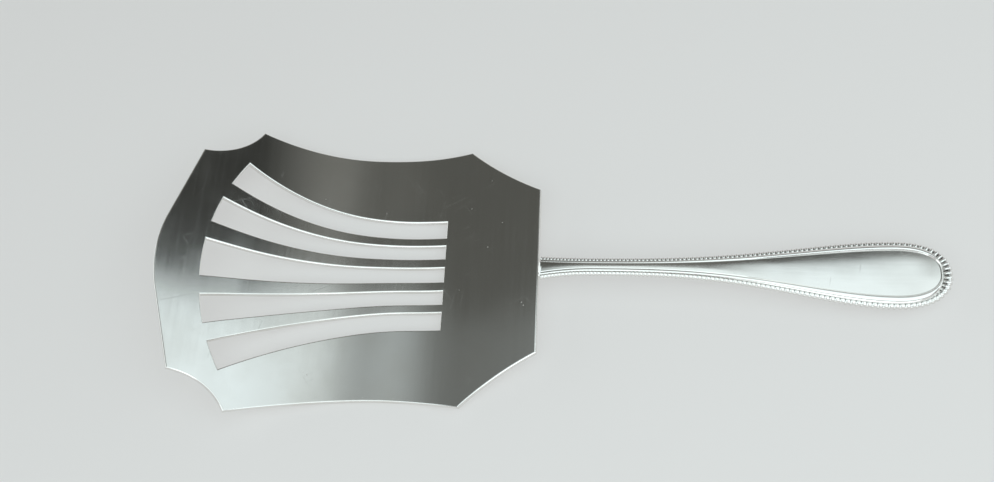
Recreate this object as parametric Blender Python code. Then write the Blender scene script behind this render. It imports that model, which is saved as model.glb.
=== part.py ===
"""Asparagus server: a pierced scoop blade on a filled, hollow handle with a beaded border.

Metres, +Z up. +X runs from the blade's nose to the handle's tip. The part lies on Z = 0, on the flat
bed under its blade and on the back of its handle, with the middle of its box at the origin.
"""
import math

import bmesh
import bpy
from mathutils import Vector

# Fits
GAP = 0.0003            # between pieces that are soldered, seated or cemented together
PLUG_CLEARANCE = 0.0004  # bolster plug inside the mouth of the shells
CUT_MARGIN = 0.002      # how far a cutter runs past what it cuts

# Blade: a sheet with a middle slot and two mirrored pairs. The slots' rear ends are in line, their
# front ends on an arc. In plan, its widths are those of the slots, the bars and the rims.
BLADE_THICKNESS = 0.0020
FRONT_STRIP = 0.0135    # nose to the slots
SLOT_LENGTH = 0.0760    # also the radius of the arc
REAR_STRIP = 0.0308     # slots to the rear edge
SLOT_STRAIGHT = 0.009   # parallel run before the slots begin to fan out
MIDDLE_SLOT_REAR = 0.0050
MIDDLE_SLOT_FRONT = 0.0130
INNER_BAR_REAR = 0.0033
INNER_BAR_FRONT = 0.0066
INNER_SLOT_REAR = 0.0046
INNER_SLOT_FRONT = 0.0091
OUTER_BAR_REAR = 0.0030
OUTER_BAR_FRONT = 0.0060
OUTER_SLOT_REAR = 0.0059
OUTER_SLOT_FRONT = 0.0085
SHOULDER_RIM = 0.0132   # outermost slot to the shoulder, the widest place
HEEL_RIM = 0.0261       # outermost slot to the heel
NOSE_RADIUS = 0.050
NOSE_TO_CORNER = 0.0088
CORNER_TO_SHOULDER = 0.0172
CORNER_STEP = 0.0109    # shoulder's half width less the corner's
HEEL_TO_REAR = 0.0236
REAR_STEP = 0.0166      # heel's half width less the rear edge's
SCALLOP_DEPTH = 0.0028  # hollow from corner to shoulder
WAIST_DEPTH = 0.0042    # hollow from shoulder to heel
HEEL_DEPTH = 0.0010     # hollow from heel to rear edge

# Blade scoop, seen from the side: front ramp, bend, flat bed, bend, rear ramp.
BED_SHIFT = 0.01035     # middle of the bed behind the middle of the blade
BED_LENGTH = 0.014
FRONT_BEND_RADIUS = 0.099
FRONT_SLOPE = math.radians(23.6)
REAR_BEND_RADIUS = 0.106
REAR_SLOPE = math.radians(10.4)

# Bolster and tang
BOLSTER_PLATE = 0.0012
BOLSTER_LAP = 0.00015   # plate below the foot of the tongue
BOLSTER_FLARE = 0.00035  # how far the plate stands out past the mouth
PLUG_LENGTH = 0.0030
SOCKET_DEPTH = 0.0020   # how far the tang goes into the plug
TONGUE_LENGTH = 0.020
TONGUE_ROOT_HALF_WIDTH = 0.0022
TONGUE_TIP_HALF_WIDTH = 0.0010
TONGUE_ROOT_THICKNESS = 0.0010
TONGUE_TIP_THICKNESS = 0.0006
TANG_RADIUS = 0.0008
TANG_DROP = 0.0006      # its axis below the seam, clear of the flat upper shell
CEMENT_BACK = 0.048     # mouth to the front of the cement
TANG_GRIP = 0.025       # how far the tang goes into the cement

# Beaded wire over the seam
BEAD_RADIUS_NECK = 0.0008
BEAD_RADIUS_TAIL = 0.0011
BEAD_PITCH = 1.34       # in bead radii
BEAD_SEAT = 0.25        # flat back of the wire, in bead radii behind the beads' middle
BEAD_FOOT = 0.8         # half height of the flat back, in bead radii
BEAD_BROW = math.radians(60.0)  # facets' corners on the round front, up from its middle
BEAD_WAIST = 0.6        # wire between two beads, in bead radii

# Handle: narrow at the neck, where it clears the tang, and wider at the mouth and the tail
HANDLE_LENGTH = 0.1261  # mouth to tip
NECK_BACK = 0.0150      # mouth to neck
NECK_HEIGHT = 0.0090    # middle of the neck above the table
NECK_CLEARANCE = 0.0004  # tang to the sides of the neck
NECK_CROWN = 0.0004     # more room under the tang
MOUTH_SPREAD = 0.0008   # mouth's half width over the neck's
TAIL_LENGTH = 0.0175    # widest place to tip
TAIL_HALF_WIDTH = 0.0117
TAIL_DEPTH = 0.0044     # its back under the seam
TAIL_FULLNESS = 2.3     # 2 is an ellipse, above it the end is squarer
TIP_RISE = 0.0020       # tip's height over the widest place
FLARE_EASE = 1.5        # above 1, the widening starts later along the handle
SHELL_WALL = 0.0006
BORDER_WIDTH_NECK = 0.0006
BORDER_WIDTH_TAIL = 0.0016
BORDER_HEIGHT_TOP = 0.0015  # at the neck, over the seam
BORDER_HEIGHT_BACK = 0.0018  # at the neck, under the seam
BORDER_HEIGHT_TAIL = 0.0023
PANEL_CROWN = 0.0002    # middle of the upper panel over its border
BORDER_WALL = 0.35      # upright foot of the border, in border heights

# Facets
NOSE_STEPS = 4
SCALLOP_STEPS = 8
WAIST_STEPS = 12
HEEL_STEPS = 4
FRONT_BEND_STEPS = 8
REAR_BEND_STEPS = 4
SLOT_STEPS = 7
SLOT_END_STEPS = 2
BODY_ROWS = 16
TAIL_ROWS = 8
BORDER_STEPS = 3
PANEL_STEPS = 3
RING_SIDES = 16
ROD_SIDES = 8
PATH_STEPS = 600

SHARP_ANGLE = math.radians(35.0)
MERGE_DISTANCE = 1e-7
SLOPE_STEP = 1e-5       # for measuring how the handle's outline runs

# Half widths of the blade and of the handle's narrow end
SLOTS_FRONT = (0.5 * MIDDLE_SLOT_FRONT + INNER_BAR_FRONT + INNER_SLOT_FRONT
               + OUTER_BAR_FRONT + OUTER_SLOT_FRONT)
SLOTS_REAR = 0.5 * MIDDLE_SLOT_REAR + INNER_BAR_REAR + INNER_SLOT_REAR + OUTER_BAR_REAR + OUTER_SLOT_REAR
SHOULDER_HALF_WIDTH = SLOTS_FRONT + SHOULDER_RIM
HEEL_HALF_WIDTH = SLOTS_REAR + HEEL_RIM
SHELL_INSET_NECK = BEAD_RADIUS_NECK * (1.0 + BEAD_SEAT) + GAP
NECK_HALF_WIDTH = TANG_RADIUS + NECK_CLEARANCE + SHELL_WALL + SHELL_INSET_NECK
NECK_DEPTH = TANG_DROP + TANG_RADIUS + NECK_CLEARANCE + NECK_CROWN + SHELL_WALL
MOUTH_HALF_WIDTH = NECK_HALF_WIDTH + MOUTH_SPREAD
PLATE_HALF_WIDTH = MOUTH_HALF_WIDTH + BOLSTER_FLARE
PLATE_DEPTH = BLADE_THICKNESS + GAP + TONGUE_ROOT_THICKNESS + BOLSTER_LAP
MOUTH_DEPTH = PLATE_DEPTH - BOLSTER_FLARE

# Places along X. The sheet's ends lean out below its top by their own slopes.
BLADE_LENGTH = FRONT_STRIP + SLOT_LENGTH + REAR_STRIP
FRONT_LEAN = BLADE_THICKNESS * math.sin(FRONT_SLOPE)
REAR_LEAN = BLADE_THICKNESS * math.sin(REAR_SLOPE)
BOX_LENGTH = FRONT_LEAN + BLADE_LENGTH + REAR_LEAN + GAP + BOLSTER_PLATE + GAP + HANDLE_LENGTH
NOSE_X = FRONT_LEAN - 0.5 * BOX_LENGTH
REAR_X = NOSE_X + BLADE_LENGTH
SLOT_REAR_X = REAR_X - REAR_STRIP
PLATE_X = REAR_X + REAR_LEAN + GAP
MOUTH_X = PLATE_X + BOLSTER_PLATE + GAP
PLUG_X = MOUTH_X + PLUG_LENGTH
TANG_X = PLUG_X - SOCKET_DEPTH
NECK_X = MOUTH_X + NECK_BACK
CEMENT_X = MOUTH_X + CEMENT_BACK
TANG_END_X = CEMENT_X + TANG_GRIP
TIP_X = MOUTH_X + HANDLE_LENGTH
TAIL_X = TIP_X - TAIL_LENGTH


def clear_scene():
    for thing in list(bpy.data.objects):
        bpy.data.objects.remove(thing, do_unlink=True)


def make_material(name, colour, roughness, metallic):
    material = bpy.data.materials.new(name)
    material.use_nodes = True
    shader = material.node_tree.nodes["Principled BSDF"]
    shader.inputs["Base Color"].default_value = (*colour, 1.0)
    shader.inputs["Roughness"].default_value = roughness
    shader.inputs["Metallic"].default_value = metallic
    return material


def add_object(name, bm, material=None):
    """Turn a bmesh into an object; without a material it is a hidden cutter."""
    bmesh.ops.remove_doubles(bm, verts=bm.verts, dist=MERGE_DISTANCE)
    mesh = bpy.data.meshes.new(name)
    bm.to_mesh(mesh)
    bm.free()
    thing = bpy.data.objects.new(name, mesh)
    bpy.context.collection.objects.link(thing)
    if material is None:
        thing.hide_render = True
        thing.display_type = "WIRE"
        return thing
    mesh.materials.append(material)
    mesh.shade_smooth()
    mesh.set_sharp_from_angle(angle=SHARP_ANGLE)
    return thing


def add_boolean(thing, cutter, operation):
    modifier = thing.modifiers.new(cutter.name, "BOOLEAN")
    modifier.object = cutter
    modifier.operation = operation
    modifier.solver = "EXACT"


def mix(a, b, share):
    return a + (b - a) * share


# Blade: drawn flat in plan, pierced, then bent along X

def scoop_stations():
    """Where the sheet's facets meet: (x, height of the top, slope), nose to rear edge."""
    bed_front = NOSE_X + 0.5 * (BLADE_LENGTH - BED_LENGTH) + BED_SHIFT
    bed_rear = bed_front + BED_LENGTH
    front = []
    for step in range(FRONT_BEND_STEPS + 1):
        angle = FRONT_SLOPE * (1.0 - step / FRONT_BEND_STEPS)
        rise = FRONT_BEND_RADIUS * (1.0 - math.cos(angle))
        front.append((bed_front - FRONT_BEND_RADIUS * math.sin(angle), BLADE_THICKNESS + rise, -angle))
    rear = []
    for step in range(REAR_BEND_STEPS + 1):
        angle = REAR_SLOPE * step / REAR_BEND_STEPS
        rise = REAR_BEND_RADIUS * (1.0 - math.cos(angle))
        rear.append((bed_rear + REAR_BEND_RADIUS * math.sin(angle), BLADE_THICKNESS + rise, angle))
    nose_height = front[0][1] + (front[0][0] - NOSE_X) * math.tan(FRONT_SLOPE)
    rear_height = rear[-1][1] + (REAR_X - rear[-1][0]) * math.tan(REAR_SLOPE)
    return [(NOSE_X, nose_height, -FRONT_SLOPE), *front, *rear, (REAR_X, rear_height, REAR_SLOPE)]


STATIONS = scoop_stations()
REAR_HEIGHT = STATIONS[-1][1]  # also the middle of the handle's mouth


def on_scoop(x, y, depth):
    """Point of the bent sheet at plan place x, y and at a depth below its top face."""
    index = 0
    while index < len(STATIONS) - 2 and x > STATIONS[index + 1][0]:
        index += 1
    ends = []
    for place, height, slope in STATIONS[index:index + 2]:
        ends.append(Vector((place + depth * math.sin(slope), y, height - depth * math.cos(slope))))
    start, end = STATIONS[index][0], STATIONS[index + 1][0]
    return ends[0].lerp(ends[1], (x - start) / (end - start))


def hollow_arc(start, end, depth, steps):
    """Points from start to just before end, on an arc that dips by depth to the right of the way."""
    start, end = Vector(start), Vector(end)
    along = (end - start).normalized()
    inward = Vector((along.y, -along.x))
    half = 0.5 * (end - start).length
    radius = (half * half + depth * depth) / (2.0 * depth)
    centre = 0.5 * (start + end) + inward * (depth - radius)
    sweep = math.asin(half / radius)
    points = []
    for step in range(steps):
        angle = sweep * (2.0 * step / steps - 1.0)
        points.append(centre + radius * (math.sin(angle) * along + math.cos(angle) * inward))
    return points


def flipped(points):
    return [Vector((point.x, -point.y)) for point in points]


def blade_outline():
    corner = Vector((NOSE_X + NOSE_TO_CORNER, SHOULDER_HALF_WIDTH - CORNER_STEP))
    shoulder = Vector((corner.x + CORNER_TO_SHOULDER, SHOULDER_HALF_WIDTH))
    heel = Vector((REAR_X - HEEL_TO_REAR, HEEL_HALF_WIDTH))
    rear = Vector((REAR_X, HEEL_HALF_WIDTH - REAR_STEP))
    centre = Vector((NOSE_X + NOSE_RADIUS, 0.0))
    reach = corner - centre
    tangent = math.atan2(reach.y, -reach.x) - math.acos(NOSE_RADIUS / reach.length)
    half = []
    for step in range(NOSE_STEPS + 1):
        angle = tangent * step / NOSE_STEPS
        half.append(centre + NOSE_RADIUS * Vector((-math.cos(angle), math.sin(angle))))
    half += hollow_arc(corner, shoulder, SCALLOP_DEPTH, SCALLOP_STEPS)
    half += hollow_arc(shoulder, heel, WAIST_DEPTH, WAIST_STEPS)
    half += hollow_arc(heel, rear, HEEL_DEPTH, HEEL_STEPS)
    half.append(rear)
    return half + flipped(half[:0:-1])


def slot_edge(rear_y, front_y):
    """One long edge of a slot, rear to front: a straight run, then an arc out to the fan's arc."""
    flare_x = SLOT_REAR_X - SLOT_STRAIGHT
    front_x = SLOT_REAR_X - math.sqrt(SLOT_LENGTH ** 2 - front_y ** 2)
    run, spread = flare_x - front_x, front_y - rear_y
    radius = (run * run + spread * spread) / (2.0 * spread)
    sweep = math.asin(run / radius)
    points = [Vector((SLOT_REAR_X, rear_y))]
    for step in range(SLOT_STEPS + 1):
        angle = sweep * step / SLOT_STEPS
        y = rear_y + radius * (1.0 - math.cos(angle))
        points.append(Vector((flare_x - radius * math.sin(angle), y)))
    return points


def slot_outline(inner, outer):
    """Closed outline of a slot between two long edges, its front end on the fan's arc."""
    front = []
    for step in range(1, SLOT_END_STEPS):
        y = mix(inner[-1].y, outer[-1].y, step / SLOT_END_STEPS)
        front.append(Vector((SLOT_REAR_X - math.sqrt(SLOT_LENGTH ** 2 - y ** 2), y)))
    return inner + front + outer[::-1]


def slot_outlines():
    rear_y, front_y = 0.5 * MIDDLE_SLOT_REAR, 0.5 * MIDDLE_SLOT_FRONT
    middle = slot_edge(rear_y, front_y)
    outlines = [slot_outline(flipped(middle), middle)]
    pairs = ((INNER_BAR_REAR, INNER_SLOT_REAR, INNER_BAR_FRONT, INNER_SLOT_FRONT),
             (OUTER_BAR_REAR, OUTER_SLOT_REAR, OUTER_BAR_FRONT, OUTER_SLOT_FRONT))
    for bar_rear, slot_rear, bar_front, slot_front in pairs:
        inner = slot_edge(rear_y + bar_rear, front_y + bar_front)
        rear_y, front_y = rear_y + bar_rear + slot_rear, front_y + bar_front + slot_front
        outer = slot_edge(rear_y, front_y)
        outline = slot_outline(inner, outer)
        outlines += [outline, flipped(outline)]
    return outlines


def build_blade(material):
    bm = bmesh.new()
    for outline in [blade_outline(), *slot_outlines()]:
        loop = [bm.verts.new((point.x, point.y, 0.0)) for point in outline]
        for first, second in zip(loop, loop[1:] + loop[:1]):
            bm.edges.new((first, second))
    bmesh.ops.triangle_fill(bm, edges=bm.edges, use_beauty=True)
    top = bmesh.ops.extrude_face_region(bm, geom=bm.faces[:])
    for item in top["geom"]:
        if isinstance(item, bmesh.types.BMVert):
            item.co.z = BLADE_THICKNESS
    for place, _, _ in STATIONS[1:-1]:
        bmesh.ops.bisect_plane(bm, geom=bm.verts[:] + bm.edges[:] + bm.faces[:], dist=MERGE_DISTANCE,
                               plane_co=(place, 0.0, 0.0), plane_no=(1.0, 0.0, 0.0))
    for vert in bm.verts:
        vert.co = on_scoop(vert.co.x, vert.co.y, BLADE_THICKNESS - vert.co.z)
    bmesh.ops.recalc_face_normals(bm, faces=bm.faces[:])
    return add_object("blade", bm, material)


# Handle: the same rows of points shape the shells, the cement and the beaded wire

def flare(x):
    """Share of the way from the neck's sizes to the tail's sizes."""
    way = min(max((x - NECK_X) / (TAIL_X - NECK_X), 0.0), 1.0) ** FLARE_EASE
    return way * way * (3.0 - 2.0 * way)


def eased(mouth, neck, tail, x):
    """A handle size at x, from its values at the mouth, the neck and the tail."""
    mouth_share = min(max((NECK_X - x) / NECK_BACK, 0.0), 1.0) ** 2
    return mix(neck, tail, flare(x)) + (mouth - neck) * mouth_share


def half_width(x):
    return eased(MOUTH_HALF_WIDTH, NECK_HALF_WIDTH, TAIL_HALF_WIDTH, x)


def border_height(x, up):
    """Border of the upper (up = 1) or lower (up = -1) face, from the seam."""
    return mix(BORDER_HEIGHT_TOP if up > 0.0 else BORDER_HEIGHT_BACK, BORDER_HEIGHT_TAIL, flare(x))


def crown(x, up):
    """Middle line from the seam: the upper panel is nearly flat, and the back is round."""
    if up > 0.0:
        return border_height(x, up) + PANEL_CROWN
    return eased(MOUTH_DEPTH, NECK_DEPTH, TAIL_DEPTH, x)


def middle_height(x):
    """Height of the seam: the tail lies on the table with its back, and its tip curves up."""
    lift = TIP_RISE * max((x - TAIL_X) / TAIL_LENGTH, 0.0) ** 2
    return eased(REAR_HEIGHT, NECK_HEIGHT, TAIL_DEPTH, x) + lift


def bead_radius(x):
    return mix(BEAD_RADIUS_NECK, BEAD_RADIUS_TAIL, flare(x))


def shell_inset(x):
    """From the handle's outline in to the shells' edge, which the wire's flat back faces."""
    return bead_radius(x) * (1.0 + BEAD_SEAT) + GAP


def side_point(x):
    """Outline of the handle beside x: the point and its outward direction, in plan."""
    slope = (half_width(x + SLOPE_STEP) - half_width(x - SLOPE_STEP)) / (2.0 * SLOPE_STEP)
    return Vector((x, half_width(x))), Vector((-slope, 1.0)).normalized()


def tail_point(angle):
    """Outline of the rounded tail, from its widest place (0) to the tip (a quarter turn)."""
    along = math.sin(angle) ** (2.0 / TAIL_FULLNESS)
    across = math.cos(angle) ** (2.0 / TAIL_FULLNESS)
    steep = TAIL_FULLNESS - 1.0
    outward = Vector((along ** steep / TAIL_LENGTH, across ** steep / TAIL_HALF_WIDTH))
    return Vector((TAIL_X + TAIL_LENGTH * along, TAIL_HALF_WIDTH * across)), outward.normalized()


def handle_rows(first_x):
    """Rows across the +Y half of the handle: (outline point, outward direction, x on the middle line)."""
    rows = []
    for row in range(BODY_ROWS):
        x = mix(first_x, TAIL_X, row / BODY_ROWS)
        rows.append((*side_point(x), x))
    for row in range(TAIL_ROWS + 1):
        angle = 0.5 * math.pi * row / TAIL_ROWS
        middle_x = TAIL_X + max(TAIL_LENGTH - TAIL_HALF_WIDTH, 0.0) * math.sin(angle)
        rows.append((*tail_point(angle), middle_x))
    return rows


def section(row, up, seam):
    """Points of one row from the seam over the border to the middle line: x, y, distance from the seam."""
    point, outward, middle_x = row
    border_width = mix(BORDER_WIDTH_NECK, BORDER_WIDTH_TAIL, flare(point.x))
    border = border_height(point.x, up)
    edge = point - outward * shell_inset(point.x)
    panel = edge - outward * border_width
    middle = Vector((middle_x, 0.0))
    points = [(*edge, seam)]
    for step in range(BORDER_STEPS + 1):
        angle = 0.5 * math.pi * step / BORDER_STEPS
        place = edge.lerp(panel, 1.0 - math.cos(angle))
        points.append((*place, border * mix(BORDER_WALL, 1.0, math.sin(angle))))
    for step in range(1, PANEL_STEPS + 1):
        share = step / PANEL_STEPS
        place = panel.lerp(middle, share)
        points.append((*place, mix(border, crown(middle_x, up), 1.0 - (1.0 - share) ** 2)))
    return points


def handle_surface(bm, first_x, up, seam):
    """Add the upper (up = 1) or lower (up = -1) face of the handle, both sides, facing out."""
    rows = [section(row, up, seam) for row in handle_rows(first_x)]
    for side in (1.0, -1.0):
        grid = []
        for row in rows:
            places = [(x, side * y, middle_height(x) + up * height) for x, y, height in row]
            grid.append([bm.verts.new(place) for place in places])
        for near, far in zip(grid, grid[1:]):
            for rim in range(len(near) - 1):
                corners = [near[rim], far[rim], far[rim + 1], near[rim + 1]]
                bm.faces.new(corners if side * up < 0.0 else corners[::-1])


def build_shell(name, up, material):
    bm = bmesh.new()
    handle_surface(bm, MOUTH_X, up, 0.5 * GAP)
    shell = add_object(name, bm, material)
    wall = shell.modifiers.new("wall", "SOLIDIFY")
    wall.thickness = SHELL_WALL
    wall.offset = -1.0
    wall.use_even_offset = True
    return shell


def rod(name, first_x, last_x, radius, material=None):
    """Round rod along the tang's axis."""
    bm = bmesh.new()
    rings = []
    for row in range(BODY_ROWS + 1):
        x = mix(first_x, last_x, row / BODY_ROWS)
        ring = []
        for side in range(ROD_SIDES):
            angle = 2.0 * math.pi * (side + 0.5) / ROD_SIDES
            place = (x, radius * math.cos(angle), middle_height(x) - TANG_DROP + radius * math.sin(angle))
            ring.append(bm.verts.new(place))
        rings.append(ring)
    close_rings(bm, rings)
    return add_object(name, bm, material)


def close_rings(bm, rings):
    """Skin a row of rings and cap both ends."""
    for near, far in zip(rings, rings[1:]):
        for side in range(len(near)):
            following = (side + 1) % len(near)
            bm.faces.new((near[side], near[following], far[following], far[side]))
    bm.faces.new(rings[0])
    bm.faces.new(rings[-1])
    bmesh.ops.recalc_face_normals(bm, faces=bm.faces[:])


def build_cement(material):
    bm = bmesh.new()
    for up in (1.0, -1.0):
        handle_surface(bm, CEMENT_X, up, 0.0)
    bmesh.ops.remove_doubles(bm, verts=bm.verts, dist=MERGE_DISTANCE)
    front = [edge for edge in bm.edges if edge.is_boundary]
    bmesh.ops.contextual_create(bm, geom=front)
    bmesh.ops.recalc_face_normals(bm, faces=bm.faces[:])
    inset = SHELL_WALL + GAP
    moves = [(vert, vert.normal * (inset * vert.calc_shell_factor())) for vert in bm.verts]
    for vert, move in moves:
        vert.co -= move
    cement = add_object("handle_cement", bm, material)
    bore = rod("tang_bore", CEMENT_X - CUT_MARGIN, TANG_END_X + GAP, TANG_RADIUS + GAP)
    add_boolean(cement, bore, "DIFFERENCE")
    return cement


# Bolster

def oval(bm, x, half_y, rise, depth):
    """Oval ring square to X, flatter over the seam than under it."""
    ring = []
    for side in range(RING_SIDES):
        angle = 2.0 * math.pi * side / RING_SIDES
        reach = rise if math.sin(angle) > 0.0 else depth
        place = (x, half_y * math.cos(angle), middle_height(x) + reach * math.sin(angle))
        ring.append(bm.verts.new(place))
    return ring


def plug_ring(bm, x, place):
    """Ring of the plug at place, sized to the shells' bore at x."""
    inset = SHELL_WALL + PLUG_CLEARANCE
    half_y = half_width(x) - shell_inset(x) - inset
    return oval(bm, place, half_y, crown(x, 1.0) - inset, crown(x, -1.0) - inset)


def build_tongue():
    """Tapered tongue that lies along the underside of the blade's rear ramp."""
    along = Vector((math.cos(REAR_SLOPE), 0.0, math.sin(REAR_SLOPE)))
    up = Vector((-math.sin(REAR_SLOPE), 0.0, math.cos(REAR_SLOPE)))
    rear_foot = Vector((REAR_X, 0.0, REAR_HEIGHT)) - up * (BLADE_THICKNESS + GAP)
    root = (PLATE_X + 0.5 * BOLSTER_PLATE - rear_foot.x) / math.cos(REAR_SLOPE)
    ends = ((root, TONGUE_ROOT_HALF_WIDTH, TONGUE_ROOT_THICKNESS),
            (root - TONGUE_LENGTH, TONGUE_TIP_HALF_WIDTH, TONGUE_TIP_THICKNESS))
    bm = bmesh.new()
    rings = []
    for reach, half, thickness in ends:
        ring = []
        for side, depth in ((1.0, 0.0), (-1.0, 0.0), (-1.0, thickness), (1.0, thickness)):
            place = rear_foot + along * reach - up * depth
            ring.append(bm.verts.new((place.x, side * half, place.z)))
        rings.append(ring)
    close_rings(bm, rings)
    return add_object("bolster_tongue", bm)


def build_bolster(material):
    plate_back = PLATE_X + BOLSTER_PLATE
    bm = bmesh.new()
    mouth_rise = crown(MOUTH_X, 1.0)
    rings = [oval(bm, PLATE_X, PLATE_HALF_WIDTH, mouth_rise + BOLSTER_FLARE, PLATE_DEPTH),
             oval(bm, plate_back, MOUTH_HALF_WIDTH, mouth_rise, MOUTH_DEPTH),
             plug_ring(bm, MOUTH_X, plate_back),
             plug_ring(bm, PLUG_X, PLUG_X)]
    close_rings(bm, rings)
    bolster = add_object("bolster", bm, material)
    add_boolean(bolster, build_tongue(), "UNION")
    socket = rod("bolster_socket", TANG_X - GAP, PLUG_X + CUT_MARGIN, TANG_RADIUS + GAP)
    add_boolean(bolster, socket, "DIFFERENCE")
    return bolster


# Beaded wire

def outline_path():
    """The +Y half of the handle's outline, mouth to tip: (length so far, point, outward direction)."""
    path = []
    length = 0.0
    for step in range(2 * PATH_STEPS + 1):
        if step < PATH_STEPS:
            point, outward = side_point(mix(MOUTH_X, TAIL_X, step / PATH_STEPS))
        else:
            point, outward = tail_point(0.5 * math.pi * (step / PATH_STEPS - 1.0))
        if path:
            length += (point - path[-1][1]).length
        path.append((length, point, outward))
    return path


def wire_rings():
    """Rings of the +Y half of the wire, tip to mouth: (place, outward direction, bead radius, fullness)."""
    path = outline_path()
    rings = []
    index = len(path) - 1
    length = path[-1][0]
    fullness = 1.0
    while length >= 0.0:
        while path[index][0] > length:
            index -= 1
        _, point, outward = path[index]
        radius = bead_radius(point.x)
        rings.append((point - outward * radius, outward, radius, fullness))
        length -= 0.5 * BEAD_PITCH * radius
        fullness = BEAD_WAIST if fullness == 1.0 else 1.0
    return rings


def build_bead_border(material):
    half = wire_rings()
    other = [(Vector((place.x, -place.y)), Vector((outward.x, -outward.y)), radius, fullness)
             for place, outward, radius, fullness in half[1:]]
    bm = bmesh.new()
    rings = []
    for place, outward, radius, fullness in half[::-1] + other:
        full = radius * fullness
        corners = [(-BEAD_SEAT * radius, -BEAD_FOOT * full)]
        for angle in (-BEAD_BROW, 0.0, BEAD_BROW):
            corners.append((full * math.cos(angle), full * math.sin(angle)))
        corners.append((-BEAD_SEAT * radius, BEAD_FOOT * full))
        ring = []
        for out, rise in corners:
            spot = place + outward * out
            ring.append(bm.verts.new((spot.x, spot.y, middle_height(place.x) + rise)))
        rings.append(ring)
    close_rings(bm, rings)
    return add_object("bead_border", bm, material)


def main():
    clear_scene()
    satin_silver = make_material("satin_silver", (0.80, 0.79, 0.76), 0.30, 1.0)
    polished_silver = make_material("polished_silver", (0.88, 0.87, 0.84), 0.12, 1.0)
    steel = make_material("tang_steel", (0.42, 0.42, 0.43), 0.45, 1.0)
    cement = make_material("cement", (0.42, 0.33, 0.25), 0.90, 0.0)
    build_blade(satin_silver)
    build_bolster(polished_silver)
    rod("tang", TANG_X, TANG_END_X, TANG_RADIUS, steel)
    build_shell("handle_top_shell", 1.0, polished_silver)
    build_shell("handle_back_shell", -1.0, polished_silver)
    build_bead_border(polished_silver)
    build_cement(cement)


main()
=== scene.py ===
# %% [markdown]
# # An asparagus server
#
# The server is a broad, pierced blade of satin silver on a slender polished handle with a beaded edge.
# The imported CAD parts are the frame: they fix every size and place. This lesson makes the finer forms
# that lie over them, and the finishes. All is in metres, with +X from the blade's nose to the handle's
# tip and +Z up from the table.

# %% Load the frame
import math

import bpy
from mathutils import Matrix, Vector


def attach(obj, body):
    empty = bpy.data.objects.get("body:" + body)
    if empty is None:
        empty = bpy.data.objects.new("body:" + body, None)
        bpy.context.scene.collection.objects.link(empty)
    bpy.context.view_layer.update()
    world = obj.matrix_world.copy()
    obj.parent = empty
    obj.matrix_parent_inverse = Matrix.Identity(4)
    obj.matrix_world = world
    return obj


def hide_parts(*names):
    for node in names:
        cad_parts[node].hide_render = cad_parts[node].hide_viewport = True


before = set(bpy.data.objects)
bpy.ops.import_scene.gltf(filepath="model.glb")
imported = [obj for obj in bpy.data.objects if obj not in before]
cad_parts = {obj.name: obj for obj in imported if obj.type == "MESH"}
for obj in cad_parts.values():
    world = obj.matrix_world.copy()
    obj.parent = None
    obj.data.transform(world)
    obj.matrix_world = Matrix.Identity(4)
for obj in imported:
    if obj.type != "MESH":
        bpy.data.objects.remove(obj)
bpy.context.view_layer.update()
print("CAD nodes:", ", ".join(sorted(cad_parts)))

# %% [markdown]
# ## Camera
#
# The server was seen from above and a little from its near side. A camera's place and turn could be
# found by trial, but here they come from a fit of the blade's corners, slots and handle, so they are
# written as plain numbers. An operator acts on all that is selected, so each step starts from nothing.

# %% Camera
def start_step():
    """Leave edit mode and deselect everything, so that the next operator acts on its own piece alone."""
    if bpy.context.object is not None and bpy.context.object.mode != "OBJECT":
        bpy.ops.object.mode_set(mode="OBJECT")
    bpy.ops.object.select_all(action="DESELECT")


CAMERA_PLACE = (0.015855, -0.17654, 0.361759)
CAMERA_TURN = (0.486215, 0.070034, 0.043659)
SENSOR_WIDTH, LENS = 36.0, 45.27
start_step()
bpy.ops.object.camera_add(location=CAMERA_PLACE, rotation=CAMERA_TURN)
camera = bpy.context.object
camera.data.sensor_width = SENSOR_WIDTH
camera.data.lens = LENS
bpy.context.scene.camera = camera
bpy.context.scene.view_settings.view_transform = "Standard"
print("Camera lens:", camera.data.lens, "mm")

# %% [markdown]
# ## Light
#
# Silver has hardly any colour of its own: it shows what stands round it, so the light is planned by what
# each face reflects. Two softboxes hang overhead, one for the blade's pale sheen and one for the handle's
# panel. A third hangs nearer to the camera, where the rounded edges look, and turns them white. A low card
# lights the steepest edges, and two more stand at the ends. The sky is light at the horizon and dark
# overhead, which gives the grey in between. Lamps are set by their radiance, and the power follows from
# their area.

# %% Node helpers
def add_node(tree, kind, values=None, **options):
    """Add a shader node, set its options, and set or link its inputs."""
    node = tree.nodes.new("ShaderNode" + kind)
    for option, value in options.items():
        setattr(node, option, value)
    for name, value in (values or {}).items():
        if isinstance(value, bpy.types.NodeSocket):
            tree.links.new(value, node.inputs[name])
        else:
            node.inputs[name].default_value = value
    return node


def fade(tree, value, low, high, to_low=0.0, to_high=1.0, kind="LINEAR"):
    """Map a value from one range to another, with its ends held."""
    return add_node(tree, "MapRange", {"Value": value, "From Min": low, "From Max": high, "To Min": to_low,
                                       "To Max": to_high}, interpolation_type=kind).outputs["Result"]


def combine(tree, operation, first, second):
    """Combine two values by one operation of arithmetic."""
    return add_node(tree, "Math", {0: first, 1: second}, operation=operation).outputs["Value"]


def blend(tree, share, first, second):
    """Mix two colours by a share."""
    return add_node(tree, "Mix", {0: share, 6: first, 7: second}, data_type="RGBA").outputs[2]


print("Node helpers ready")

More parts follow.
